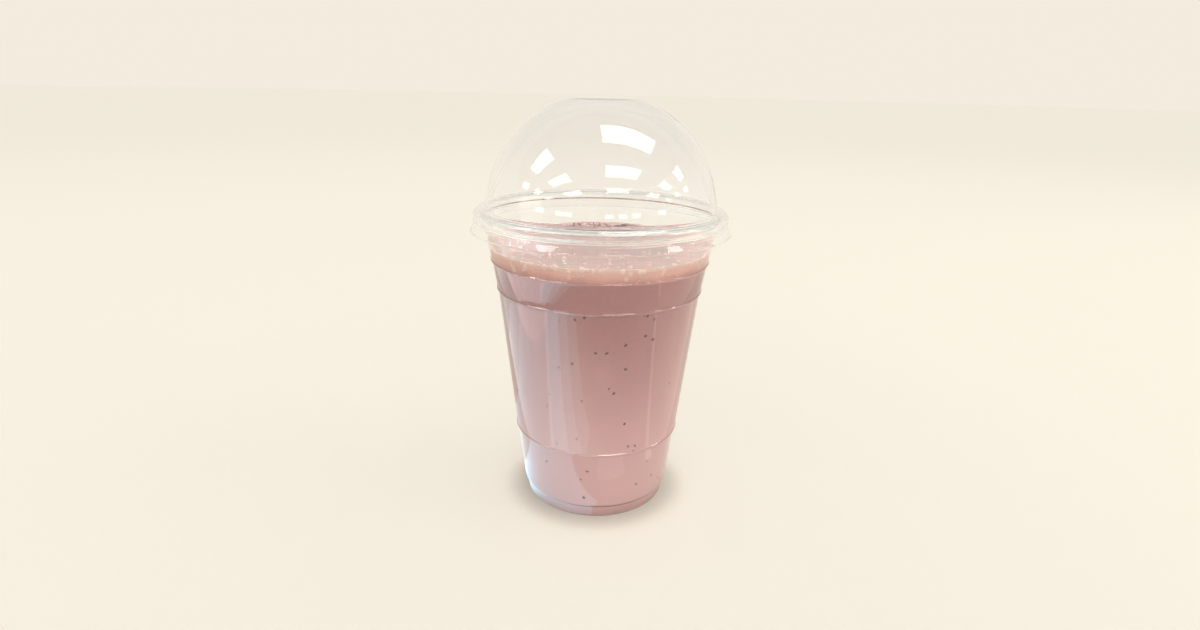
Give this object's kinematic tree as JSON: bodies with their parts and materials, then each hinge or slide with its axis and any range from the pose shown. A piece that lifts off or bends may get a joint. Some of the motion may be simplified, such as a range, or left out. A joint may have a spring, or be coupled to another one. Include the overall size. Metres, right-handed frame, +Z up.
{
  "type": "strawberry smoothie in a clear dome-lid cup",
  "caption": "Tapered clear tumbler with stepped ledges and a rolled lip, filled with a pink blended drink under a froth layer, closed by a press-on clear dome lid with a flat crown.",
  "frame": {"origin": "centre of the cup's foot ring, on the surface that the cup stands on", "axes": "+Z up along the cup's axis, through the crown of the lid; +X to the right and +Y away from the viewer"},
  "size_m": [0.103, 0.103, 0.1644],
  "materials": {
    "cup_clear": "clear thermoformed plastic, polished, faint grey edge",
    "lid_clear": "clear thermoformed plastic, polished",
    "smoothie": "opaque dusky pink drink, wet, with small dark seeds",
    "froth": "pale peach-pink froth of fine bubbles, with dark specks"
  },
  "bodies": {
    "root": {"cup": "cup_clear", "lid": "lid_clear", "smoothie": "smoothie", "froth": "froth"}
  },
  "joints": []
}
